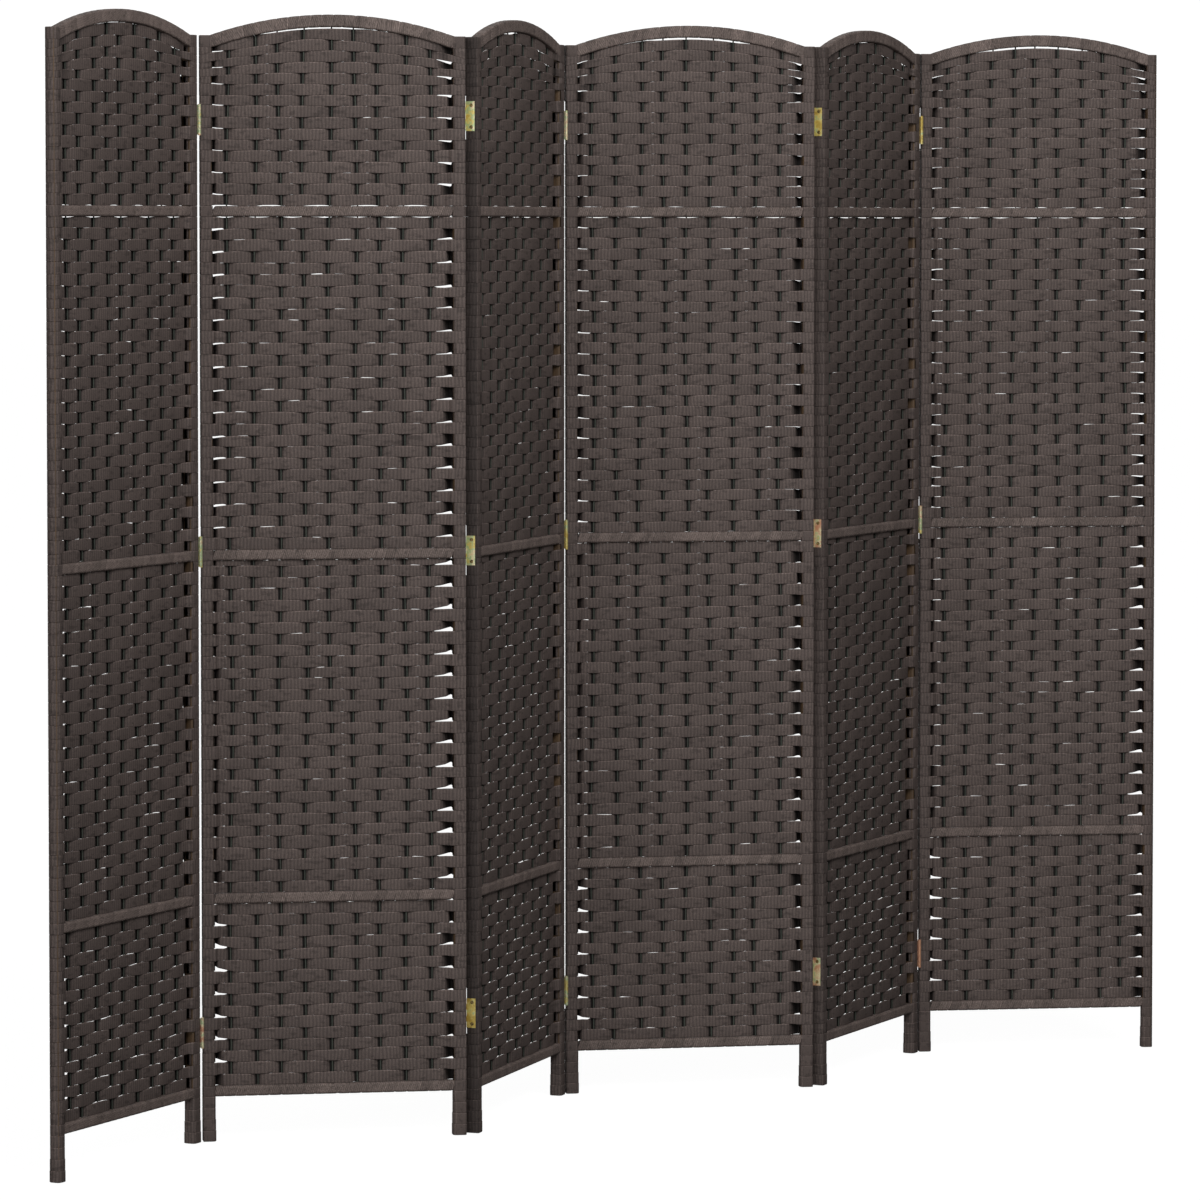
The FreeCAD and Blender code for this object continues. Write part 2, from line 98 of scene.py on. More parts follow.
def skin(name, batches, place, material, body):
    """One object from batches of (points, normals, ring, {attribute: values})."""
    corners, loops, totals, values, facings = [], [], [], {}, []
    start = 0
    for points, normals, ring, attributes in batches:
        facings.append(normals.reshape(-1, 3))
        count, stations, around, _ = points.shape
        quads, ends = sweep_faces(count, stations, around, ring)
        flat = points.reshape(-1, 3)
        a, b, c = (flat[quads[: stations * around - around, k]] for k in (0, 1, 2))
        if np.einsum("ij,ij->i", a, np.cross(b, c)).sum() < 0:
            quads, ends = quads[:, ::-1], ends[:, ::-1]
        corners.append(flat)
        loops += [(quads + start).ravel(), (ends + start).ravel()]
        totals += [np.full(len(quads), 4), np.full(len(ends), around)]
        for key, value in attributes.items():
            full = np.broadcast_to(value, points.shape[:3]).ravel()
            values.setdefault(key, []).append(full)
        start += len(flat)
    corners = np.concatenate(corners)
    loops, totals = np.concatenate(loops), np.concatenate(totals)
    turn = np.array(place)
    corners = corners @ turn[:3, :3].T + turn[:3, 3]
    mesh = bpy.data.meshes.new(name)
    mesh.vertices.add(len(corners))
    mesh.vertices.foreach_set("co", corners.ravel())
    mesh.loops.add(len(loops))
    mesh.loops.foreach_set("vertex_index", loops.astype(np.int32))
    mesh.polygons.add(len(totals))
    mesh.polygons.foreach_set("loop_start", (np.cumsum(totals) - totals).astype(np.int32))
    mesh.polygons.foreach_set("use_smooth", totals == 4)
    for key, value in values.items():
        layer = mesh.attributes.new(key, "FLOAT", "POINT")
        layer.data.foreach_set("value", np.concatenate(value).astype(np.float32))
    mesh.update(calc_edges=True)
    mesh.validate()
    outward = np.concatenate(facings) @ turn[:3, :3].T / METRES
    mesh.normals_split_custom_set_from_vertices(outward)
    mesh.materials.append(material)
    piece = bpy.data.objects.new(name, mesh)
    bpy.context.scene.collection.objects.link(piece)
    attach(piece, body)
    return piece


# Shader helpers: one call makes a node, sets or links its inputs and returns it.
def add(tree, kind, *values, **settings):
    """A node with its inputs in order; a None leaves an input alone."""
    made = tree.nodes.new(kind)
    for key, value in settings.items():
        setattr(made, key, value)
    for socket, value in zip(made.inputs, values):
        if isinstance(value, bpy.types.NodeSocket):
            tree.links.new(value, socket)
        elif value is not None:
            socket.default_value = value
    return made


def calc(tree, operation, *values):
    """Output of a maths node."""
    return add(tree, "ShaderNodeMath", *values, operation=operation).outputs[0]


def ramp(tree, factor, *stops):
    """A colour ramp with stops of (position, (r, g, b))."""
    made = add(tree, "ShaderNodeValToRGB", factor)
    elements = made.color_ramp.elements
    while len(elements) < len(stops):
        elements.new(0.5)
    for element, (position, colour) in zip(elements, stops):
        element.position = position
        element.color = (*colour, 1)
    return made.outputs["Color"]


def blend_colours(tree, kind, factor, first, second):
    """Output of a node that mixes two colours."""
    made = tree.nodes.new("ShaderNodeMix")
    made.data_type = "RGBA"
    made.blend_type = kind
    sockets = (made.inputs[0], made.inputs[6], made.inputs[7])
    for socket, value in zip(sockets, (factor, first, second)):
        if isinstance(value, bpy.types.NodeSocket):
            tree.links.new(value, socket)
        else:
            socket.default_value = value
    return made.outputs[2]


def new_group(name, inputs, outputs):
    """A node group with its (label, kind) sockets, and its two end nodes."""
    group = bpy.data.node_groups.new(name, "ShaderNodeTree")
    for label, kind in inputs:
        group.interface.new_socket(label, in_out="INPUT", socket_type=kind)
    for label, kind in outputs:
        group.interface.new_socket(label, in_out="OUTPUT", socket_type=kind)
    return group, group.nodes.new("NodeGroupInput"), group.nodes.new("NodeGroupOutput")


def new_material(name):
    """A material, its node tree and its main shader."""
    material = bpy.data.materials.new(name)
    material.use_nodes = True
    tree = material.node_tree
    return material, tree, tree.nodes["Principled BSDF"]


def srgb(red, green, blue):
    """A colour given as 8-bit screen values, as linear light."""
    return tuple(((v / 255 + 0.055) / 1.055) ** 2.4 for v in (red, green, blue))


# Fibre. The band is a flat strip of paper cord: fine ribs cross it and its tone
# drifts from turn to turn. Painted shade darkens its creases and its edges, where
# it meets the next band, and a painted highlight shows as a light seam along one
# edge. Painted shade from an attribute makes the dips behind the stakes and the
# ends behind the stiles nearly black, and darkens the side of a stile in a fold.
RIB_PITCH = 5.4
RIB_SHADE = 0.2
TONE_SHADE = 0.1
CREASE_SHADE = 0.3
EDGE_SHADE = 0.12
DEEP_SHADE = 0.93
fibre, fibre_in, fibre_out = new_group(
    "fibre_look",
    [("Tint", "NodeSocketColor"), ("Grain", "NodeSocketFloat")],
    [("Color", "NodeSocketColor"), ("Height", "NodeSocketFloat")],
)
along = add(fibre, "ShaderNodeAttribute", attribute_name="along").outputs["Fac"]
across = add(fibre, "ShaderNodeAttribute", attribute_name="across").outputs["Fac"]
tone = add(fibre, "ShaderNodeAttribute", attribute_name="tone").outputs["Fac"]
deep = add(fibre, "ShaderNodeAttribute", attribute_name="deep").outputs["Fac"]
band_seed = calc(fibre, "MULTIPLY", tone, 40.0)
up_band = calc(fibre, "MULTIPLY", across, 6.0)
lay = add(fibre, "ShaderNodeCombineXYZ", along, up_band, band_seed).outputs[0]
wander = add(fibre, "ShaderNodeTexNoise", lay, None, 0.06, 2.0).outputs[0]
shift = calc(fibre, "MULTIPLY", wander, 5.0)
rib_phase = calc(fibre, "MULTIPLY", along, 2 * math.pi / RIB_PITCH)
rib = calc(fibre, "SINE", calc(fibre, "ADD", rib_phase, shift))
strand = add(fibre, "ShaderNodeTexNoise", lay, None, 0.9, 4.0, 0.6).outputs[0]
from_edge = calc(fibre, "SUBTRACT", 1.0, calc(fibre, "ABSOLUTE", across))
edge = calc(fibre, "SMOOTH_MIN", calc(fibre, "MULTIPLY", from_edge, 7.0), 1.0, 0.2)
slow_along = calc(fibre, "MULTIPLY", along, 0.06)
slow_across = calc(fibre, "MULTIPLY", across, 1.3)
long_lay = add(fibre, "ShaderNodeCombineXYZ", slow_along, slow_across, band_seed).outputs[0]
fold = add(fibre, "ShaderNodeTexNoise", long_lay, None, 1.0, 2.0).outputs[0]
# Painted shade in creases, where the slow fold noise runs high.
crease = add(fibre, "ShaderNodeMapRange", fold, 0.56, 0.66, 0.0, CREASE_SHADE).outputs[0]
level = calc(fibre, "ADD", calc(fibre, "MULTIPLY", tone, TONE_SHADE), 1.0)
level = calc(fibre, "MULTIPLY", level, calc(fibre, "SUBTRACT", 1.0, crease))
# Painted light and shade of the ribs: besides their bump, their stripes go into the colour.
ribbed = calc(fibre, "ADD", calc(fibre, "MULTIPLY", rib, RIB_SHADE), 1.0)
level = calc(fibre, "MULTIPLY", level, ribbed)
grain = calc(fibre, "MULTIPLY", calc(fibre, "SUBTRACT", strand, 0.48), fibre_in.outputs["Grain"])
level = calc(fibre, "MULTIPLY", level, calc(fibre, "ADD", grain, 1.0))
# Painted shade along the edges of every band and turn, where it meets the next one.
rim = calc(fibre, "MULTIPLY", calc(fibre, "SUBTRACT", 1.0, edge), EDGE_SHADE)
rim = calc(fibre, "MULTIPLY", rim, fibre_in.outputs["Grain"])
level = calc(fibre, "MULTIPLY", level, calc(fibre, "SUBTRACT", 1.0, rim))
# Painted shade from the attribute: nearly black in the dips and behind the stiles.
unshaded = calc(fibre, "SUBTRACT", 1.0, calc(fibre, "MULTIPLY", deep, DEEP_SHADE))
level = calc(fibre, "MULTIPLY", level, unshaded)
# Painted highlight along one edge of each band and turn, up to twice as bright, stronger where the fold
# noise runs high.
broken = add(fibre, "ShaderNodeMapRange", fold, 0.4, 0.55, 1.1, 2.0).outputs[0]
painted_highlight = add(fibre, "ShaderNodeMapRange", across, 0.78, 0.9, 1.0, broken).outputs[0]
level = calc(fibre, "MULTIPLY", level, painted_highlight)
shade = add(fibre, "ShaderNodeCombineColor", level, level, level).outputs[0]
coloured = blend_colours(fibre, "MULTIPLY", 1.0, fibre_in.outputs[0], shade)
fibre.links.new(coloured, fibre_out.inputs["Color"])
height = calc(fibre, "ADD", calc(fibre, "MULTIPLY", rib, 0.5), calc(fibre, "MULTIPLY", strand, 1.2))
fibre.links.new(height, fibre_out.inputs["Height"])


def fibre_material(name, colour, grain):
    """Matt fibre of one tint with the shared ribs and tones, and painted shade and highlights."""
    material, tree, shader = new_material(name)
    look = tree.nodes.new("ShaderNodeGroup")
    look.node_tree = fibre
    look.inputs["Tint"].default_value = (*colour, 1)
    look.inputs["Grain"].default_value = grain
    tree.links.new(look.outputs["Color"], shader.inputs["Base Color"])
    bump = tree.nodes.new("ShaderNodeBump")
    bump.inputs["Strength"].default_value = 0.5
    bump.inputs["Distance"].default_value = 0.0003
    tree.links.new(look.outputs["Height"], bump.inputs["Height"])
    tree.links.new(bump.outputs[0], shader.inputs["Normal"])
    shader.inputs["Roughness"].default_value = 0.75
    shader.inputs["Specular IOR Level"].default_value = 0.3
    return material


woven_fibre = fibre_material("woven_fibre", srgb(92, 81, 77), 1.6)
bound_fibre = fibre_material("bound_fibre", srgb(105, 93, 88), 4.0)

# Weave. Each row of a bay is one band: it lies flat in front of every second
# stake, dips sharply behind the ones between and passes the stiles in front or
# behind. Rows touch along a slightly wavy line, with chinks of light in places.
STAKES = 9
FIRST_STAKE = 44
STAKE_PITCH = 38
LONG_BOW = 2.6
LONG_WAVE = 210
SHORT_BOW = 1.6
SHORT_WAVE = 83
INNER_LEFT = DEPTH
INNER_RIGHT = WIDTH - DEPTH
BAND_HALF = 0.6

# Rows in each bay of a panel, from the lowest bay up, and how the first row of
# the bay passes the stiles: 0 in front of them, 1 behind them.
BAY_ROWS = {
    1: (16, 30, 30, 16),
    2: (16, 30, 29, 16),
    3: (16, 30, 30, 16),
    4: (16, 29, 30, 16),
    5: (16, 30, 30, 17),
    6: (16, 29, 29, 16),
}
FIRST_SIDES = {
    1: (1, 0, 1, 0),
    2: (1, 0, 0, 0),
    3: (1, 0, 0, 1),
    4: (1, 0, 0, 1),
    5: (1, 0, 0, 1),
    6: (1, 0, 0, 0),
}

# Panels whose second bay ends in a narrow row, and the rows of the last bay that
# bow up to the arch, whose last boundary lies a little under it.
SECOND_BAY = 1
SQUEEZED = (2, 3, 5)
NARROW_ROW = 9
ARCH_BAY = 3
BOWED_ROWS = 5
ROOF_ENDS = ARCH_FOOT - 0.5
ROOF_CROWN = ARCH_CROWN - 2
BOW_REACH = 186


def stake_xs(number, z):
    """Places of a panel's nine stakes at a height: they bow to and fro in a long
    wave and a short one."""
    k = np.arange(STAKES)
    long_bow = LONG_BOW * np.sin(z / LONG_WAVE + 1.9 * k + 2.3 * number)
    short_bow = SHORT_BOW * np.sin(z / SHORT_WAVE + 4.1 * k * number)
    return FIRST_STAKE + STAKE_PITCH * k + (long_bow + short_bow)


def row_levels(number):
    """Rows of each bay as (first boundary, last boundary, side), where a boundary
    is a (height at the stiles, height in the middle) pair."""
    bays = []
    roofs = [level - RAIL_HALF for level in RAIL_LEVELS[1:]] + [ROOF_CROWN]
    spans = zip(RAIL_LEVELS, roofs, BAY_ROWS[number], FIRST_SIDES[number])
    for bay, (rail, roof, count, first_side) in enumerate(spans):
        floor = rail + RAIL_HALF
        pitch = (roof - floor) / count
        heights = [floor + k * pitch for k in range(count + 1)]
        if bay == SECOND_BAY and number in SQUEEZED:
            pitch = (roof - NARROW_ROW - floor) / (count - 1)
            heights = [floor + k * pitch for k in range(count)] + [roof]
        levels = [(height, height) for height in heights]
        if bay == ARCH_BAY:
            base = floor + (count - BOWED_ROWS) * pitch
            for k in range(BOWED_ROWS + 1):
                share = k / BOWED_ROWS
                ends = base + share * (ROOF_ENDS - base)
                levels[count - BOWED_ROWS + k] = (ends, base + share * (roof - base))
        bays.append([(levels[k], levels[k + 1], (first_side + k) % 2) for k in range(count)])
    return bays


def bowed_height(boundary, x):
    """Height of a boundary at a place across the panel."""
    ends, middle = boundary
    return middle - (middle - ends) * ((x - WIDTH / 2) / BOW_REACH) ** 2


def arc_through(ends, middle):
    """Height of an arc over the panel, from its ends at the stiles' cores."""
    half = WIDTH / 2 - RAIL_INSET
    rise = middle - ends
    radius = (half ** 2 + rise ** 2) / (2 * rise)

    def height(x):
        from_middle = np.clip(x, RAIL_INSET, WIDTH - RAIL_INSET) - WIDTH / 2
        return middle - radius + np.sqrt(radius ** 2 - from_middle ** 2)

    return height


under = arc_through(ARCH_FOOT, ARCH_CROWN)
over = arc_through(STILE_TOP, CREST)

# Ways of a band past a stake or up to a stile, as (place from the stake or the
# stile's inner face, depth behind the panel's middle, shade). Shade is painted
# shade on the front of the band there, up to 1 in the dips and behind the stiles.
OVER_STAKE = ((-11, -2.6, 0), (0, -2.8, 0), (11, -2.6, 0))
INTO_DIP = ((-17, -2.4, 0), (-10.5, -1.0, 0), (-6.5, 0.9, 0.03), (-4.9, 1.9, 0.3), (-4, 2.5, 1))
FROM_BEHIND = ((1, 8.9, 1), (5, 7.4, 1), (9, 4.5, 0.9), (13, 1.4, 0.6), (18, -1.8, 0))
FROM_FRONT = ((1, -8.6, 0), (4, -7.6, 0), (8, -5.0, 0), (12, -2.4, 0))
SMALLEST_STEP = 0.4


def out_of_dip(number):
    """The way out of a dip. On the odd panels, which the camera sees steeply, the
    hollow reaches farther and the painted shade on its rim and wall is darker."""
    hollow, rim, wall = (4.4, 1, 0.35) if number % 2 else (2.2, 0.2, 0.02)
    start = ((0, 2.7, 1), (hollow, 2.6, 1), (hollow + 0.8, 2.1, rim))
    return start + ((6, 0.7, wall), (10.5, -1.2, 0), (17, -2.4, 0))


def across_panel(number, side, stakes, tucks=(1, 1)):
    """Stations of a band between the stiles: x, depth, place among the stakes and
    shade. Tucks stretch or shorten its ways up to the left and the right stile."""
    spacing = FIRST_STAKE - INNER_LEFT
    start = FROM_BEHIND if side else FROM_FRONT
    stations = [(INNER_LEFT + x * tucks[0], y, x / spacing, shade) for x, y, shade in start]
    for k, stake in enumerate(stakes, 1):
        reaches = INTO_DIP + out_of_dip(number) if (k + side) % 2 else OVER_STAKE
        stations += [(stake + x, y, k + x / STAKE_PITCH, shade) for x, y, shade in reaches]
    for x, y, shade in start[::-1]:
        stations.append((INNER_RIGHT - x * tucks[1], y, STAKES + 1 - x / spacing, shade))
    kept = [stations[0]]
    for station in stations[1:]:
        kept.append((max(station[0], kept[-1][0] + SMALLEST_STEP), *station[1:]))
    return kept


# Stiles. A band goes round the stile at each end of its row. Its outer corners are
# full at the screen's two free ends and tight towards a neighbour, and a covered
# stile has the band on its inner face too.
FREE_CORNER = 7.5
TIGHT_CORNER = 1.2
CORNER_POINTS = 4
CORNER_STEP = 30


def outer_corner(number, left):
    """Radius of a stile's two outer corners."""
    free = (number, left) in ((1, True), (PANELS, False))
    return FREE_CORNER if free else TIGHT_CORNER


def round_stile(side, covered, corner, bulge, back):
    """Stations of a band round the left stile, on its way to the weave: from the
    back for a band that crosses in front, from the front for one that crosses behind."""
    lie = MIDDLE - BAND_HALF
    way = 1 if side == 0 else -1
    inner_face = INNER_LEFT - 0.7
    face_half = 4
    near_end, halfway, far_end = INNER_LEFT - 3, 9, 13
    stations = [(inner_face, way * face_half), (inner_face, -way * face_half)] if covered else []
    stations += [(near_end, way * lie), (halfway, way * lie)]
    centre = BAND_HALF + corner - bulge
    for turn, height in ((90, lie - corner), (180, corner - lie)):
        for step in range(CORNER_POINTS):
            angle = math.radians(turn + CORNER_STEP * step)
            y = way * (height + corner * math.sin(angle))
            stations.append((centre + corner * math.cos(angle), y))
    stations.append((far_end, -way * lie))
    return [(x, y + back * (x < INNER_LEFT / 3 and y > MIDDLE / 2)) for x, y in stations]


# Hinge levels of the even and the odd joints, how far above and below one the
# binding is held flat, and how far it swells elsewhere: towards the next panel and,
# where the barrel is behind, to the back and at the height of a leaf.
HINGE_LEVELS = {0: (184, 890, 1548), 1: (166, 893, 1541)}
LEAF_REACH = 24
BARREL_BEHIND = (2, 4)
SWELL = 1.2
SWELLS = {1: 0.2, 5: 0.9}
AJAR_JOINT = 3
AJAR_SWELL = 0.45
BACK_SWELL = 1.1
LEAF_SWELL = 0.9


def bulges(number, low, high):
    """How far the binding swells to the side and to the back, at the left stile and
    at the right one. Joint 3 stands ajar up to its highest hinge, more low down."""
    found = []
    for joint in (number - 1, number):
        levels = HINGE_LEVELS[joint % 2]
        free = all(high < level - LEAF_REACH or low > level + LEAF_REACH for level in levels)
        swells = 0 < joint < PANELS and free
        fullest = SWELLS.get(joint, SWELL)
        if joint == AJAR_JOINT and levels[0] - LEAF_REACH < low < levels[-1]:
            fullest = AJAR_SWELL * (low / STILE_TOP) ** 2
        beside_leaf = LEAF_SWELL * (joint in BARREL_BEHIND and not free)
        behind = BACK_SWELL * swells * (joint in BARREL_BEHIND)
        found.append((fullest * swells + beside_leaf, behind))
    return found


# Painted shade on the outer side of panel 3's and panel 5's left stile, in its
# fold. The side ends short of the band that lies on the stile's front.
FOLD_SHADE = {3: 0.6, 5: 0.3}
FOLD_SIDE = 1.5
FRONT_LIE = -8.6


def band_stations(number, side, low, high, stakes, covered, tucks):
    """A whole band as arrays: x, depth, place among stakes, painted shade, on a stile."""
    left, right = bulges(number, low, high)
    shadow = FOLD_SHADE.get(number, 0.0)
    start = [
        (x, y, 0, shadow * (x < FOLD_SIDE) * (y > FRONT_LIE), 1)
        for x, y in round_stile(side, covered[0], outer_corner(number, True), *left)
    ]
    finish = [
        (WIDTH - x, y, STAKES + 1, 0, 1)
        for x, y in round_stile(side, covered[1], outer_corner(number, False), *right)
    ]
    middle = [(*station, 0) for station in across_panel(number, side, stakes, tucks)]
    return np.array(start + middle + finish[::-1]).T


# Light between the rows of each panel, from the lowest bay up: chinks is how many
# there are on average along four boundaries, wedges how far a row that passes
# behind a stile is open above and below it at the left stile, then at the right.
CHINKS = {
    1: (4, 3, 2, 0),
    2: (1, 3, 7, 1),
    3: (2, 2, 3, 0),
    4: (3, 3, 1, 0),
    5: (3, 1, 1, 0),
    6: (1, 4, 4, 0),
}
WEDGES = {
    1: ((0, 4, 0, 0), (0, 3, 0, 0), (0, 2, 0, 0), (0, 0, 0, 0)),
    2: ((0, 5, 0, 1), (0.5, 0.5, 0, 5), (3, 0, 0, 2.5), (0, 1.5, 3, 0)),
    3: ((0, 3, 0, 0), (0, 2, 0, 0), (0, 2, 0, 0), (0, 0, 0, 0)),
    4: ((0, 3.5, 0, 0.5), (0.5, 0.5, 0, 1), (0, 1.5, 1, 0), (1, 0, 1, 1)),
    5: ((0, 3, 0, 0), (0, 2, 0, 0), (0, 1, 0, 0), (0, 0, 0, 0)),
    6: ((0, 4, 0, 1), (1, 0, 0, 3), (1, 1, 2, 1), (1, 0, 1, 1)),
}
WEDGE_REACH = 34
WEDGE_SPREAD = (0.7, 1.3)
CHINK_PLACES = (INNER_LEFT + 1, INNER_RIGHT - 1)
CHINK_HEIGHTS = (0.3, 1.0)
CHINK_REACHES = (5, 18)

# Open slits: under the arch, as (from, to, height), and at the floor and the roof
# of each bay, as their greatest heights there.
ARCH_SLITS = {2: (90, 250, 1.2), 3: (140, 205, 2.0), 4: (130, 300, 2.0), 6: (105, 285, 2.2)}
SLIT_RAMP = 20
BAY_SLITS = ((0.3, 0.5), (0.5, 0.3), (0.3, 1.4), (1.4, 0))
BAY_SLIT_REACHES = (7, 12)
RAIL_GAP = 0.1
ARCH_GAP = 0.2

# Boundaries between rows: how far one lifts and drops from stake to stake, how it
# is shifted, tilted and bent, and how much more a bunched one is bent.
BELLY = 0.5
STEEP_BELLY = 0.85
SHIFT = 0.4
TILT = 0.5
BEND = 0.6
BEND_REACHES = (22, 45)
BUNCHED_BEND = 1.5
BUNCHED_SHARE = 0.06


def boundary_line(draw, number, bay, boundary, side_below, x, u):
    """Height of the line between two rows, and the chink left open there."""
    belly = STEEP_BELLY if number % 2 else BELLY
    wave = belly * (1 if side_below == 0 else -1) * np.cos(math.pi * u)
    lean = draw.normal(0, SHIFT) + draw.normal(0, TILT) * (x - WIDTH / 2) / (WIDTH / 2)
    bunched = BUNCHED_BEND * (draw.random() < BUNCHED_SHARE)
    bend = draw.uniform(0, BEND) + bunched
    wander = bend * np.sin(x / draw.uniform(*BEND_REACHES) + draw.uniform(0, 6))
    height = bowed_height(boundary, x) + wave + lean + wander
    chink = 0 * x
    for _ in range(draw.poisson(CHINKS[number][bay] / 4)):
        centre = draw.uniform(*CHINK_PLACES)
        height_here = draw.uniform(*CHINK_HEIGHTS)
        reach = draw.uniform(*CHINK_REACHES)
        chink = chink + height_here * np.exp(-(((x - centre) / reach) ** 2))
    return height, chink


def wedge(x, left, right):
    """How far a row is open at a place, from its openings at the two stiles."""
    near_left = np.clip(1 - (x - INNER_LEFT) / WEDGE_REACH, 0, 1)
    near_right = np.clip(1 - (INNER_RIGHT - x) / WEDGE_REACH, 0, 1)
    return left * near_left + right * near_right


def bay_slit(draw, x):
    """Broken slits along a rail, from 0 where closed to 1 where open."""
    wave = np.sin(x / draw.uniform(*BAY_SLIT_REACHES) + draw.uniform(0, 6))
    return np.clip(wave + draw.uniform(-0.6, 0.3), 0, 1)


def arch_slit(number, x):
    """Height of the slit between a panel's last row and its arch."""
    if number not in ARCH_SLITS:
        return 0 * x
    start, end, height = ARCH_SLITS[number]
    return height * np.clip(np.minimum(x - start, end - x) / SLIT_RAMP, 0, 1)


# Rows overlap where one dips behind the next: by a share of the depth between
# them, up to a limit that is lower on the odd panels, where light gets through.
OVERLAP = 0.7
DEEPEST = 3.4
STEEP_DEEPEST = 1.3


def overlap_behind(number, side, stakes, stations):
    """How far a row reaches behind its neighbours at each station."""
    x, y, _, _, bound = stations
    other = np.array(across_panel(number, 1 - side, stakes)).T
    behind = np.clip(y - np.interp(x, other[0], other[1]), 0, None) * (1 - bound)
    deepest = STEEP_DEEPEST if number % 2 else DEEPEST
    return np.clip(OVERLAP * (behind - 2 * BAND_HALF), 0.0, deepest)


def row_edges(draw, number, bay, k, row, seeds, overlap, stations):
    """Height of a row's bottom and top edge at each station, with the chinks,
    wedges and slits left open."""
    low, high, side = row
    x, _, u, _, bound = stations
    above = below = 0 * x
    if side:
        left_above, left_below, right_above, right_below = WEDGES[number][bay]
        open_here = draw.uniform(*WEDGE_SPREAD) * (1 - bound)
        above = wedge(x, left_above, right_above) * open_here
        below = wedge(x, left_below, right_below) * open_here
    lines, openings = [], []
    for index, boundary, side_below, opening in ((k, low, 1 - side, below), (k + 1, high, side, above)):
        line_draw = np.random.default_rng(seeds[index])
        line, chink = boundary_line(line_draw, number, bay, boundary, side_below, x, u)
        hidden = overlap * np.clip(1 - opening, 0, 1)
        lines.append(line)
        openings.append(chink * (1 - bound) / 2 - hidden + opening)
    bottom = lines[0] + openings[0]
    top = lines[1] - openings[1]
    floor_slit, roof_slit = np.outer(BAY_SLITS[bay], 1 - bound)
    if k == 0:
        bottom = low[0] + RAIL_GAP + floor_slit * bay_slit(draw, x)
    if k == len(seeds) - 2:
        top = bowed_height(high, x) - RAIL_GAP - roof_slit * bay_slit(draw, x)
        if bay == ARCH_BAY:
            top = under(x) - ARCH_GAP - arch_slit(number, x)
    return bottom, top


# Section of a band, from its bottom edge over the front to its top edge and back
# behind: share of its half height and thickness, then where it faces there.
SECTION = np.array([(-1, 0), (-0.92, -1), (0.92, -1), (1, 0), (0.92, 1), (-0.92, 1)]) * (1, BAND_HALF)
SECTION_FACING = np.array([(-1, 0), (-0.1, -1), (0.1, -1), (1, 0), (0.1, 1), (-0.1, 1)])
FRONT_POINTS = 4


def unit(vectors):
    """The same directions at length one."""
    return vectors / np.linalg.norm(vectors, axis=-1)[..., None]


def length_along(plan):
    """Length of a path up to each of its points, as a column."""
    steps = np.linalg.norm(np.diff(plan, axis=0), axis=1)
    return np.concatenate([[0], np.cumsum(steps)])[:, None]


def ribbon(plan, out, bottom, top, section, section_facing):
    """Points and facings of a band that stands on its edge along a plan, with its
    section turned towards out and stretched from bottom to top."""
    middle, half = np.reshape((bottom + top) / 2, (-1, 1)), np.reshape((top - bottom) / 2, (-1, 1))
    points = np.zeros((len(plan), len(section), 3))
    points[..., :2] = plan[:, None, :] + out[:, None, :] * section[None, :, 1:]
    points[..., 2] = middle + half * section[:, 0]
    facing = np.zeros_like(points)
    facing[..., :2] = out[:, None, :] * section_facing[None, :, 1:]
    facing[..., 2] = section_facing[:, 0]
    return points, unit(facing)


def one_batch(bands, ring):
    """A batch for skin() from the (points, facing, values) of bands of one length."""
    points, facings, values = zip(*bands)
    stacked = {key: np.stack([np.atleast_2d(v[key]) for v in values]) for key in values[0]}
    return np.stack(points), np.stack(facings), ring, stacked


# Tones and creases of the bands. A tone lasts from one dip to the next, and the
# rows that bow up to the arch have painted shade in a crease near each end. The
# ribs of every band start at some place along GRAIN_RUN.
TONES = 8
GRAIN_RUN = 500
CREASE_PLACES = (3, 24)
CREASE_HALF = 7
CREASE_DARKNESS = (0.2, 0.95)

# How closely a band turns in beside the stiles, tighter at the left one, and the
# share of ends behind a stile that leave its inner face bare.
TUCKS = (0.4, 1.15)
TUCK_SCALES = (0.6, 1.0)
BARE_SHARE = 0.15


def with_crease_shade(draw, stations):
    """Painted shade of a band, with that of the creases near its ends added."""
    x, _, _, shade, bound = stations
    for end, way in ((INNER_LEFT, 1), (INNER_RIGHT, -1)):
        from_crease = x - end - way * draw.uniform(*CREASE_PLACES)
        crease_here = np.exp(-((from_crease / CREASE_HALF) ** 2))
        shade = np.maximum(shade, draw.uniform(*CREASE_DARKNESS) * crease_here * (1 - bound))
    return shade


def woven_band(draw, side, bottom, top, stations):
    """Points, facings and shader values of one band between its two edges."""
    x, y, u, shade, bound = stations
    plan = np.stack([x, MIDDLE + y], 1)
    run = unit(np.gradient(plan, axis=0))
    out = np.stack([-run[:, 1], run[:, 0]], 1)
    points, facing = ribbon(plan, out, bottom, top, SECTION, SECTION_FACING)
    place = np.clip(np.floor((u + side) / 2), 0, TONES - 1).astype(int)
    tones = draw.uniform(-1, 1, TONES)[place] * (1 - 0.5 * bound)
    front = np.arange(len(SECTION)) < FRONT_POINTS
    # Painted shade on the front and on the stiles; at a band's bottom edge it is squared, so it fades out
    # sooner there.
    shaded = shade[:, None] * (front | (bound[:, None] > 0))
    low_edge = (SECTION[:, 0] < 0) & (bound[:, None] == 0)
    values = {
        "along": length_along(plan) + draw.uniform(0, GRAIN_RUN),
        "tone": tones[:, None],
        "across": SECTION[:, 0] * (1 - 0.25 * bound)[:, None],
        "deep": shaded * np.where(low_edge, shade[:, None], 1),
    }
    return points, facing, values


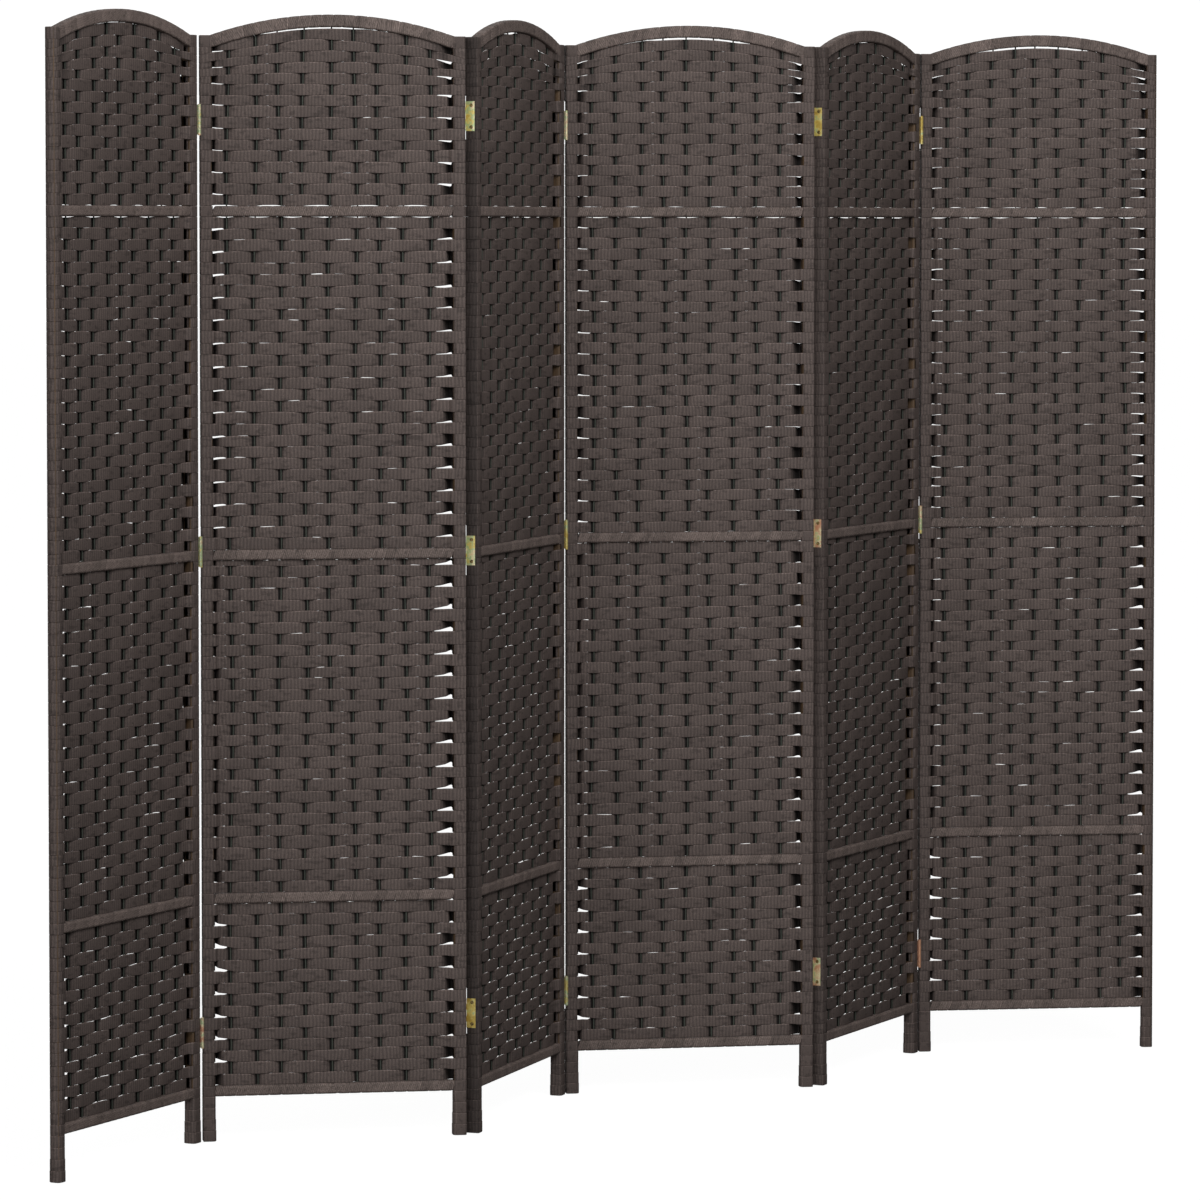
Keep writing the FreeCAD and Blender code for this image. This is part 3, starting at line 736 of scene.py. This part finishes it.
def weave_batches(number, draw):
    """The bands of one panel, grouped by length so that each group is one array."""
    groups = {}
    for bay, rows in enumerate(row_levels(number)):
        seeds = draw.integers(1 << 30, size=len(rows) + 1)
        for k, row in enumerate(rows):
            low, high, side = row
            stakes = stake_xs(number, low[0])
            covered = tuple(bool(side) and not bare for bare in draw.random(2) < BARE_SHARE)
            tucks = draw.uniform(*TUCKS, 2) * TUCK_SCALES
            stations = band_stations(number, side, low[0], high[0], stakes, covered, tucks)
            if bay == ARCH_BAY and k >= len(rows) - BOWED_ROWS:
                stations[3] = with_crease_shade(draw, stations)
            overlap = overlap_behind(number, side, stakes, stations)
            bottom, top = row_edges(draw, number, bay, k, row, seeds, overlap, stations)
            band = woven_band(draw, side, bottom, top, stations)
            groups.setdefault((side, *covered), []).append(band)
    return [one_batch(bands, False) for bands in groups.values()]


# Stile turns. Plain turns of the band close the stiles where no row crosses: at
# the feet, where the lowest two flare out, at the ends of the cross rails and
# beside the arch. Their section is (share of the half height, distance out).
TURN_WIDTH = 17
FOOT_TURNS = 4
FOOT_GAP = 0.3
FOOT_FLARES = {0: 0.9, 1: 0.5}
INNER_CORNER = 5
TURN_SECTION = np.array([(-1, -0.3), (-0.92, 0.05), (0.92, 0.05), (1, -0.3), (0.92, -1.4), (-0.92, -1.4)])
TURN_FACING = np.array([(-1, 0.3), (-0.1, 1), (0.1, 1), (1, 0.3), (0.1, -1), (-0.1, -1)])


def stile_path(left, corner, bulge, back, flare):
    """Plan of one turn as points on a rounded square, with outward directions."""
    outer = corner + BAND_HALF
    far = DEPTH - INNER_CORNER
    centres = ((far, INNER_CORNER), (far, far), (outer, DEPTH - outer), (outer, outer))
    points, outs = [], []
    for quarter, centre in enumerate(centres):
        radius = INNER_CORNER if quarter < 2 else outer
        for step in range(CORNER_POINTS):
            angle = math.radians(-90 + 90 * quarter + CORNER_STEP * step)
            out = np.array([math.cos(angle), math.sin(angle)])
            sideways = out[0] < -0.6
            swell = np.array([-bulge if sideways else 0.0, back if quarter == 2 else 0.0])
            swell += flare * out * (not sideways)
            points.append(centre + radius * out + swell)
            outs.append(out)
    points, outs = np.array(points), np.array(outs)
    if not left:
        points, outs = points[::-1] * (-1, 1) + (WIDTH, 0), outs[::-1] * (-1, 1)
    return points, outs


def turn_batches(number, draw):
    """The plain turns round both stiles of a panel."""
    levels = [(k * TURN_WIDTH + FOOT_GAP * (k == 0), (k + 1) * TURN_WIDTH) for k in range(FOOT_TURNS)]
    levels += [(level - RAIL_HALF, level + RAIL_HALF) for level in RAIL_LEVELS]
    levels += [(ROOF_ENDS, STILE_TOP + 0.5)]
    turns = []
    for left in (True, False):
        for index, (low, high) in enumerate(levels):
            swells = bulges(number, low, high)[0 if left else 1]
            flare = FOOT_FLARES.get(index, 0.0)
            plan, out = stile_path(left, outer_corner(number, left), *swells, flare)
            points, facing = ribbon(plan, out, low, high, TURN_SECTION, TURN_FACING)
            values = {
                "along": length_along(plan) + draw.uniform(0, GRAIN_RUN),
                "tone": draw.uniform(-0.6, 0.6),
                "across": 0.92 * TURN_SECTION[:, 0],
                # Painted shade of the fold on the outer side of panel 3's and 5's left stile.
                "deep": left * FOLD_SHADE.get(number, 0.0) * (out[:, :1] < -0.5),
            }
            turns.append((points, facing, values))
    return [one_batch(turns, True)]


# Bound rails. A band winds round each cross rail and round the arch. Its turns
# lean across the front, and each is a low cushion whose profile along the rail is
# (place on the turn, height, slope of its face).
CUSHION = ((0.01, -0.3, -0.5), (0.08, 0.1, -0.1), (0.5, 0.2, 0), (0.92, 0.1, 0.1), (0.99, -0.3, 0.5))
RAIL_SIZE = 2 * RAIL_HALF
RAIL_CORNER = 4
RAIL_LEAN = 4.0
ARCH_SIZE = 18.5
ARCH_CORNER = 3
ARCH_INSET = 15
ARCH_LEAN = 2.0

# Grain of the binding, coarser on the odd panels, which the camera sees steeply,
# where painted light also brightens it: how fast it runs along the rail and up its
# face, and the tone that is added.
GRAIN = (1.8, 0.5, 0.0)
STEEP_GRAIN = (0.8, 2.1, 1.9)
TONE_SPREAD = 1.8


def rounded_section(high, corner):
    """Points round a rounded rectangle centred on 0, 0."""
    points = []
    for quarter, (sx, sy) in enumerate(((1, 1), (-1, 1), (-1, -1), (1, -1))):
        for step in range(3):
            angle = math.radians(90 * quarter + 45 * step)
            x = sx * (RAIL_SIZE / 2 - corner) + corner * math.cos(angle)
            points.append((x, sy * (high / 2 - corner) + corner * math.sin(angle)))
    return np.array(points)


def rail_batch(number, draw, height_at, high, corner, inset, lean):
    """One bound rail whose middle line is height_at(x), as a single sweep."""
    section = rounded_section(high, corner)
    front = np.sin(np.arctan2(section[:, 1], section[:, 0]))
    start, end = inset, WIDTH - inset
    turns = round((end - start) / TURN_WIDTH)
    pitch = (end - start) / turns
    stations = []
    for turn in range(turns):
        tint = draw.uniform(-1, 1)
        tilt = draw.normal(0, 1.0)
        for share, rise, lift in CUSHION:
            stations.append((start + (turn + share) * pitch, tilt, rise, tint, 2 * share - 1, lift))
    place, tilt, rise, tint, across, lift = np.array(stations).T[..., None]
    x = np.clip(place + (lean + tilt) * front, start, end)
    scale = 1 + rise / (RAIL_SIZE / 2)
    slope = np.arctan((height_at(x + 1) - height_at(x - 1)) / 2)
    outward = section[:, 1] * scale
    points = np.stack(
        [
            x - np.sin(slope) * outward,
            MIDDLE + section[:, 0] * scale,
            height_at(x) + np.cos(slope) * outward,
        ],
        -1,
    )
    out = unit(section - np.sign(section) * (np.array([RAIL_SIZE, high]) / 2 - corner))
    facing = np.zeros_like(points)
    facing[..., 0] = lift - np.sin(slope) * out[:, 1]
    facing[..., 1] = out[:, 0]
    facing[..., 2] = np.cos(slope) * out[:, 1]
    along_rail, up_face, painted_light_tone = STEEP_GRAIN if number % 2 else GRAIN
    values = {
        "along": along_rail * x + up_face * section[:, 1] + draw.uniform(0, GRAIN_RUN),
        # On the odd panels the added tone is painted light.
        "tone": TONE_SPREAD * tint + painted_light_tone,
        "across": 0.94 * across,
    }
    return points[None], unit(facing)[None], False, values


# Stakes. Thin round rods stand in the lowest rail and reach up into the arch.
ROD = 1.2
ROD_SIDES = 8
ROD_STATIONS = 30
ROD_FOOT = RAIL_LEVELS[0] + 2
ROD_TOP = 6


def stake_batch(number):
    """Nine thin rods from the lowest rail to the arch."""
    angles = np.radians(np.arange(ROD_SIDES) * 360 / ROD_SIDES)
    ring = np.stack([np.cos(angles), np.sin(angles)], 1) * ROD
    points = np.zeros((STAKES, ROD_STATIONS, ROD_SIDES, 3))
    for k in range(STAKES):
        top = under(FIRST_STAKE + STAKE_PITCH * k) + ROD_TOP
        z = np.linspace(ROD_FOOT, top, ROD_STATIONS)
        x = np.array([stake_xs(number, level)[k] for level in z])
        points[k, :, :, 0] = x[:, None] + ring[None, :, 0]
        points[k, :, :, 1] = MIDDLE + ring[None, :, 1]
        points[k, :, :, 2] = z[:, None]
    facing = np.zeros_like(points)
    facing[..., :2] = ring / ROD
    return points, facing, False, {}


# Colour of the stakes: thin grey-green rods that look like cane, painted dark as
# shade, for they show only in the dips of the weave.
stake_skin, tree, shader = new_material("stake")
where = tree.nodes.new("ShaderNodeTexCoord").outputs["Object"]
stretch = add(tree, "ShaderNodeMapping", where, None, None, (300, 300, 40)).outputs[0]
grain = add(tree, "ShaderNodeTexNoise", stretch, None, 1.0, 3.0).outputs[0]
greens = ramp(tree, grain, (0.3, srgb(46, 51, 45)), (0.7, srgb(70, 75, 66)))
tree.links.new(greens, shader.inputs["Base Color"])
shader.inputs["Roughness"].default_value = 0.6


def level_at(z):
    """A level line at a height, as a height for each place."""
    return lambda x: z + 0 * x


def arch_middle(x):
    """Height of the arch's middle line."""
    return (under(x) + over(x)) / 2


# The panels, one by one, each with its own random numbers. The turns are added,
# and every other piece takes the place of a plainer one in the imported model.
SEED = 40
for number in range(1, PANELS + 1):
    draw = np.random.default_rng(SEED + number)
    panel = f"panel_{number}"
    place = places[number]
    bands = weave_batches(number, draw)
    weave = skin(f"{panel}_bands", bands, place, woven_fibre, panel)
    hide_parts(f"{panel}_weave")
    skin(f"{panel}_turns", turn_batches(number, draw), place, woven_fibre, panel)
    rails = [
        rail_batch(number, draw, level_at(z), RAIL_SIZE, RAIL_CORNER, RAIL_INSET, RAIL_LEAN)
        for z in RAIL_LEVELS
    ]
    bound = skin(f"{panel}_bound_rails", rails, place, bound_fibre, panel)
    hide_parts(f"{panel}_cross_rails")
    arch = [rail_batch(number, draw, arch_middle, ARCH_SIZE, ARCH_CORNER, ARCH_INSET, ARCH_LEAN)]
    bow = skin(f"{panel}_bound_arch", arch, place, bound_fibre, panel)
    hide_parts(f"{panel}_top_rail")
    rods = skin(f"{panel}_rods", [stake_batch(number)], place, stake_skin, panel)
    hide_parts(f"{panel}_stakes")

# Wood of the stiles, seen between the turns and at the feet: pale pine with a fine
# upright grain, painted dark as the shade it lies in between the turns.
wood, tree, shader = new_material("pine")
where = tree.nodes.new("ShaderNodeTexCoord").outputs["Object"]
stretch = add(tree, "ShaderNodeMapping", where, None, None, (260, 260, 9)).outputs[0]
grain = add(tree, "ShaderNodeTexNoise", stretch, None, 1.0, 4.0, 0.6).outputs[0]
browns = ramp(tree, grain, (0.25, srgb(62, 47, 34)), (0.75, srgb(104, 80, 54)))
tree.links.new(browns, shader.inputs["Base Color"])
shader.inputs["Roughness"].default_value = 0.6
bump = add(tree, "ShaderNodeBump")
bump.inputs["Strength"].default_value = 0.3
bump.inputs["Distance"].default_value = 0.0005
tree.links.new(grain, bump.inputs["Height"])
tree.links.new(bump.outputs[0], shader.inputs["Normal"])

# Hinges, pins and screws: yellow zinc plating, gold with green and pink drifts.
zinc, tree, shader = new_material("yellow_zinc")
where = tree.nodes.new("ShaderNodeTexCoord").outputs["Object"]
drift = add(tree, "ShaderNodeTexNoise", where, None, 90.0, 3.0, 0.55, None, None, 0.8).outputs[0]
batch = add(tree, "ShaderNodeTexNoise", where, None, 2.5, 1.0).outputs[0]
sheen = calc(tree, "ADD", calc(tree, "MULTIPLY", drift, 0.6), calc(tree, "SUBTRACT", batch, 0.3))
plating = ramp(
    tree,
    sheen,
    (0.36, srgb(212, 184, 96)),
    (0.44, srgb(240, 222, 142)),
    (0.5, srgb(192, 214, 168)),
    (0.56, srgb(246, 234, 192)),
    (0.64, srgb(228, 172, 138)),
)
tree.links.new(plating, shader.inputs["Base Color"])
fine = add(tree, "ShaderNodeTexNoise", where, None, 900.0, 3.0).outputs[0]
tree.links.new(calc(tree, "ADD", calc(tree, "MULTIPLY", fine, 0.2), 0.22), shader.inputs["Roughness"])
shader.inputs["Metallic"].default_value = 0.45
bump = add(tree, "ShaderNodeBump")
bump.inputs["Strength"].default_value = 0.2
bump.inputs["Distance"].default_value = 0.0002
tree.links.new(fine, bump.inputs["Height"])
tree.links.new(bump.outputs[0], shader.inputs["Normal"])

# Screws: the same plating, dull, mottled dark as painted shade of their recesses.
shaded_screw, tree, shader = new_material("screw_painted_shade")
where = tree.nodes.new("ShaderNodeTexCoord").outputs["Object"]
recess_mottle = add(tree, "ShaderNodeTexNoise", where, None, 500.0, 2.0).outputs[0]
shaded_plating = ramp(tree, recess_mottle, (0.4, srgb(62, 50, 32)), (0.6, srgb(168, 146, 92)))
tree.links.new(shaded_plating, shader.inputs["Base Color"])
shader.inputs["Metallic"].default_value = 0.4
shader.inputs["Roughness"].default_value = 0.4

for name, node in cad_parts.items():
    if name.endswith("_stile"):
        skin_of = wood
    elif name.endswith("_screws"):
        skin_of = shaded_screw
    elif name.startswith("hinge"):
        skin_of = zinc
    else:
        continue
    node.data.materials.clear()
    node.data.materials.append(skin_of)

# Stage, in metres: a wide floor just under the feet that looks white and keeps the
# contact shadow, a white surround with very little fill, a soft sun from the left
# as the key, a softbox in front and a weaker sun from behind.
FLOOR_REACH = 60
FLOOR_DROP = 0.001
SUN_SIZE = math.radians(45)
floor_mesh = bpy.data.meshes.new("floor")
corner_signs = ((-1, -1), (1, -1), (1, 1), (-1, 1))
floor_corners = [(x * FLOOR_REACH, y * FLOOR_REACH, 0) for x, y in corner_signs]
floor_mesh.from_pydata(floor_corners, [], [(0, 1, 2, 3)])
floor = bpy.data.objects.new("floor", floor_mesh)
floor.location.z = -FLOOR_DROP
bpy.context.scene.collection.objects.link(floor)
floor_skin, tree, shader = new_material("white_floor")
shader.inputs["Base Color"].default_value = (0.2, 0.2, 0.2, 1)
shader.inputs["Roughness"].default_value = 1.0
shader.inputs["Specular IOR Level"].default_value = 0.0
seen = add(tree, "ShaderNodeLightPath").outputs["Is Camera Ray"]
tree.links.new(calc(tree, "MULTIPLY", seen, 0.95), shader.inputs["Emission Strength"])
shader.inputs["Emission Color"].default_value = (1, 1, 1, 1)
floor_mesh.materials.append(floor_skin)

world = bpy.data.worlds.new("surround")
world.use_nodes = True
bpy.context.scene.world = world
tree = world.node_tree
seen = add(tree, "ShaderNodeLightPath").outputs["Is Camera Ray"]
level = calc(tree, "ADD", calc(tree, "MULTIPLY", seen, 0.97), 0.08)
tree.nodes["Background"].inputs["Color"].default_value = (1, 1, 1, 1)
tree.links.new(level, tree.nodes["Background"].inputs["Strength"])


def lamp(name, kind, power, place, aim, **settings):
    """A lamp at a place, turned towards a point."""
    data = bpy.data.lights.new(name, kind)
    data.energy = power
    for key, value in settings.items():
        setattr(data, key, value)
    made = bpy.data.objects.new(name, data)
    made.location = place
    made.rotation_euler = (Vector(aim) - Vector(place)).to_track_quat("-Z", "Y").to_euler()
    bpy.context.scene.collection.objects.link(made)


lamp("key", "SUN", 1.3, (-8.5, -5.0, 3.4), (0, 0, 1), angle=SUN_SIZE)
lamp("softbox", "AREA", 78, (-0.7, -3.2, 3.3), (-0.2, 0, 1.7), size=2.0)
lamp("back", "SUN", 0.8, (5.0, 8.0, 4.0), (0, 0, 1), angle=SUN_SIZE)

# Camera, fitted to the photo: a long lens at some distance, above the middle of the
# screen, that looks to the right and slightly down.
LOOK_RIGHT = 37.65
LOOK_DOWN = 2.649
camera_data = bpy.data.cameras.new("camera")
camera_data.lens = 165.26
camera_data.sensor_width = 36
camera_data.shift_y = -0.1
camera_data.clip_end = 200
camera = bpy.data.objects.new("camera", camera_data)
camera.location = (-5.2923, -6.8378, 1.3833)
camera.rotation_euler = (math.radians(90 - LOOK_DOWN), 0, math.radians(-LOOK_RIGHT))
bpy.context.scene.collection.objects.link(camera)
bpy.context.scene.camera = camera
bpy.context.scene.view_settings.view_transform = "Standard"
